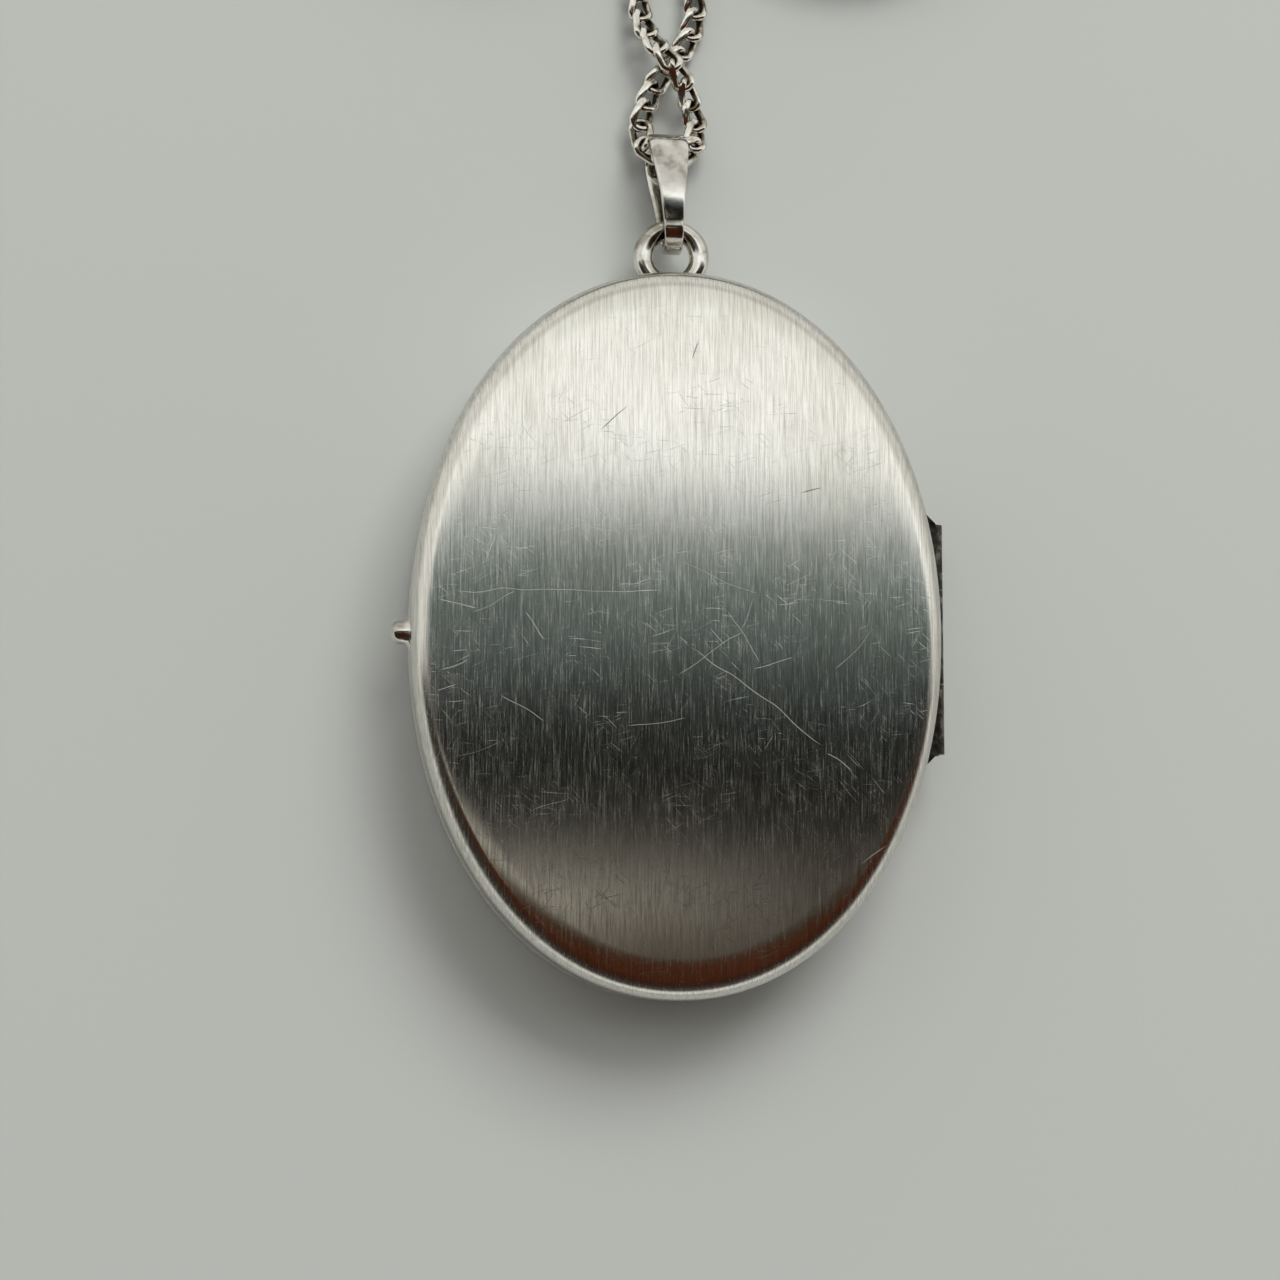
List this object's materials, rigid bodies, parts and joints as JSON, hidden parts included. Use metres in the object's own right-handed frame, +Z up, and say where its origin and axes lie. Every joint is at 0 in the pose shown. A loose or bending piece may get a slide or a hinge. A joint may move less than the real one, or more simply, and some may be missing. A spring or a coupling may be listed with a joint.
{
  "type": "locket",
  "caption": "Oval hinged silver locket with picture frames inside, on a fine curb chain with a spring-ring clasp.",
  "frame": {"origin": "under the middle of the oval case, on the surface that the front cover lies on", "axes": "+X towards the case's hinge, +Y towards the bail and the chain, +Z up out of the back cover"},
  "size_m": [0.0439, 0.0874, 0.0069],
  "materials": {
    "brushed_silver": "fine straight brushed satin with light scratches",
    "polished_silver": "polished",
    "chain_silver": "polished, tarnished in the recesses",
    "clear_acetate": "clear and glossy",
    "picture_card": "matte",
    "spring_steel": "bright drawn wire"
  },
  "bodies": {
    "chain": {"bail": "polished_silver", "bail_links": "chain_silver", "chain_strand_left": "chain_silver", "chain_strand_right": "chain_silver", "chain_coil_left": "chain_silver", "chain_coil_right": "chain_silver", "chain_tail_left": "chain_silver", "chain_tail_right": "chain_silver", "clasp_body": "polished_silver", "clasp_spring": "spring_steel", "clasp_tie_ring": "polished_silver", "chain_end_ring": "polished_silver"},
    "front_half": {"front_shell": "brushed_silver", "front_seat_ring": "polished_silver", "front_picture_card": "picture_card", "front_window": "clear_acetate", "front_photo_frame": "polished_silver", "front_bezel": "polished_silver", "snap_bead": "polished_silver", "front_hinge_bearer": "polished_silver", "hinge_knuckle_middle": "polished_silver", "hinge_pin": "polished_silver", "case_loop": "polished_silver"},
    "back_half": {"back_shell": "brushed_silver", "back_seat_ring": "polished_silver", "back_picture_card": "picture_card", "back_window": "clear_acetate", "back_photo_frame": "polished_silver", "back_bezel": "polished_silver", "back_hinge_bearer": "polished_silver", "hinge_knuckle_upper": "polished_silver", "hinge_knuckle_lower": "polished_silver", "thumb_nib": "polished_silver"},
    "clasp_bolt": {"clasp_bolt": "polished_silver"}
  },
  "joints": [
    {"name": "case_swing", "type": "hinge", "parent": "chain", "child": "front_half", "pos_m": [0, 0.02395, 0.0024], "axis": [-1, 0, 0], "range_deg": [0, 100]},
    {"name": "lid_open", "type": "hinge", "parent": "front_half", "child": "back_half", "pos_m": [0.0152, 0, 0.00322], "axis": [0, 1, 0], "range_deg": [0, 165]},
    {"name": "clasp_trigger", "type": "hinge", "parent": "chain", "child": "clasp_bolt", "pos_m": [-0.0031, 0.0639, 0.00062], "axis": [0, 0, 1], "range_deg": [0, 45], "stiffness_Nm_per_rad": 0.002, "springref_deg": -11.46, "deforming": ["clasp_spring"]}
  ]
}
